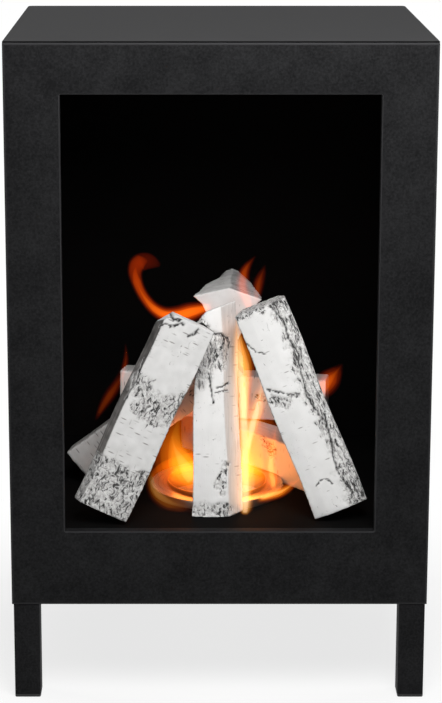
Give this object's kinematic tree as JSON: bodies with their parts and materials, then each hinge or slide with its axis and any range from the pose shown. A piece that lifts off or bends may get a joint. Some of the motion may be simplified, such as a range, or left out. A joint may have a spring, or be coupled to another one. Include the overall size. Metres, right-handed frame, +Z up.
{
  "type": "bioethanol fireplace",
  "caption": "Freestanding bioethanol fireplace: black sheet-steel box on square legs, open front, round burner in the hearth and a stack of white birch-look ceramic logs.",
  "frame": {"origin": "on the floor, under the middle of the casing", "axes": "+Z up, the open front faces -Y, +X to the right as seen from the front"},
  "size_m": [0.4, 0.33, 0.64],
  "materials": {
    "powder_coat": "fine-textured black powder coat",
    "heat_paint": "matt black heat-resistant paint",
    "black_plastic": "moulded matt black end cap",
    "zinc_steel": "zinc-plated",
    "stainless_steel": "spun stainless steel, heat-tinted",
    "mineral_wool": "felted ceramic fibre",
    "birch_ceramic": "cast matt ceramic painted as white birch bark"
  },
  "bodies": {
    "root": {"back_panel": "powder_coat", "back_screw_left_1": "zinc_steel", "back_screw_left_2": "zinc_steel", "back_screw_left_3": "zinc_steel", "back_screw_right_1": "zinc_steel", "back_screw_right_2": "zinc_steel", "back_screw_right_3": "zinc_steel", "bottom_panel": "powder_coat", "burner_cup": "stainless_steel", "burner_ring": "stainless_steel", "burner_wool": "mineral_wool", "front_panel": "powder_coat", "hearth_plate": "heat_paint", "hearth_rail_left": "zinc_steel", "hearth_rail_right": "zinc_steel", "hearth_screw_left_front": "zinc_steel", "hearth_screw_left_rear": "zinc_steel", "hearth_screw_right_front": "zinc_steel", "hearth_screw_right_rear": "zinc_steel", "left_side_panel": "powder_coat", "leg_bolt_front_left": "zinc_steel", "leg_bolt_front_right": "zinc_steel", "leg_bolt_rear_left": "zinc_steel", "leg_bolt_rear_right": "zinc_steel", "leg_cap_front_left": "black_plastic", "leg_cap_front_right": "black_plastic", "leg_cap_rear_left": "black_plastic", "leg_cap_rear_right": "black_plastic", "leg_front_left": "powder_coat", "leg_front_right": "powder_coat", "leg_rear_left": "powder_coat", "leg_rear_right": "powder_coat", "log_front_centre": "birch_ceramic", "log_left_leaning": "birch_ceramic", "log_rear_cross": "birch_ceramic", "log_rear_lower": "birch_ceramic", "rear_heat_shield": "heat_paint", "right_side_panel": "powder_coat", "top_heat_shield": "heat_paint", "top_panel": "powder_coat"},
    "log_front_left_body": {"log_front_left": "birch_ceramic"},
    "log_front_right_body": {"log_front_right": "birch_ceramic"},
    "log_crown_body": {"log_crown": "birch_ceramic"}
  },
  "joints": [
    {"name": "log_front_left_lift", "type": "slide", "parent": "root", "child": "log_front_left_body", "axis": [0, -0.9397, 0.3419], "range_m": [0, 0.18]},
    {"name": "log_front_right_lift", "type": "slide", "parent": "root", "child": "log_front_right_body", "axis": [0, -0.9397, 0.3419], "range_m": [0, 0.18]},
    {"name": "log_crown_lift", "type": "slide", "parent": "root", "child": "log_crown_body", "axis": [0, 0, 1], "range_m": [0, 0.15]}
  ]
}
